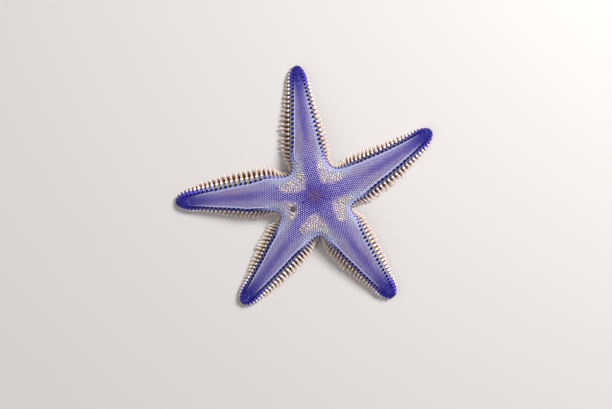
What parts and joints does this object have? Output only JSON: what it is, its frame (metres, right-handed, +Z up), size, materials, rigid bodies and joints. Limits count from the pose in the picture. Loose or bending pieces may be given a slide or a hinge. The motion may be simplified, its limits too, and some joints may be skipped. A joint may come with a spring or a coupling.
{
  "type": "sand sea star",
  "caption": "Life-size five-armed sand star lying flat, with marginal plates, a fringe of spines, furrows below, tube feet, sieve plate and mouth.",
  "frame": {"origin": "on the floor, under the middle of the whole animal's box, about 6 mm from the centre of the disc", "axes": "+Z up through the back, +X along the longest spread of the arms, +Y towards the tip of arm 1"},
  "size_m": [0.098, 0.0914, 0.0089],
  "materials": {
    "skin": "violet granular skin, matt with a wet sheen",
    "tip_skin": "deep blue skin, matt with a wet sheen",
    "plates": "lilac-grey chalky plates with a dark blue knob, satin",
    "spines": "cream to pink chalky spines with maroon roots, satin",
    "sieve_plate": "grey-brown chalky plate with fine grooves, matt",
    "soft_flesh": "pale translucent flesh, moist"
  },
  "bodies": {
    "root": {"disc": "skin", "madreporite": "sieve_plate", "mouth": "soft_flesh", "arm_1_inner": "skin", "arm_1_outer": "skin", "arm_1_tip": "tip_skin", "arm_2_inner": "skin", "arm_2_outer": "skin", "arm_2_tip": "tip_skin", "arm_3_inner": "skin", "arm_3_outer": "skin", "arm_3_tip": "tip_skin", "arm_4_inner": "skin", "arm_4_outer": "skin", "arm_4_tip": "tip_skin", "arm_5_inner": "skin", "arm_5_outer": "skin", "arm_5_tip": "tip_skin"}
  },
  "joints": []
}
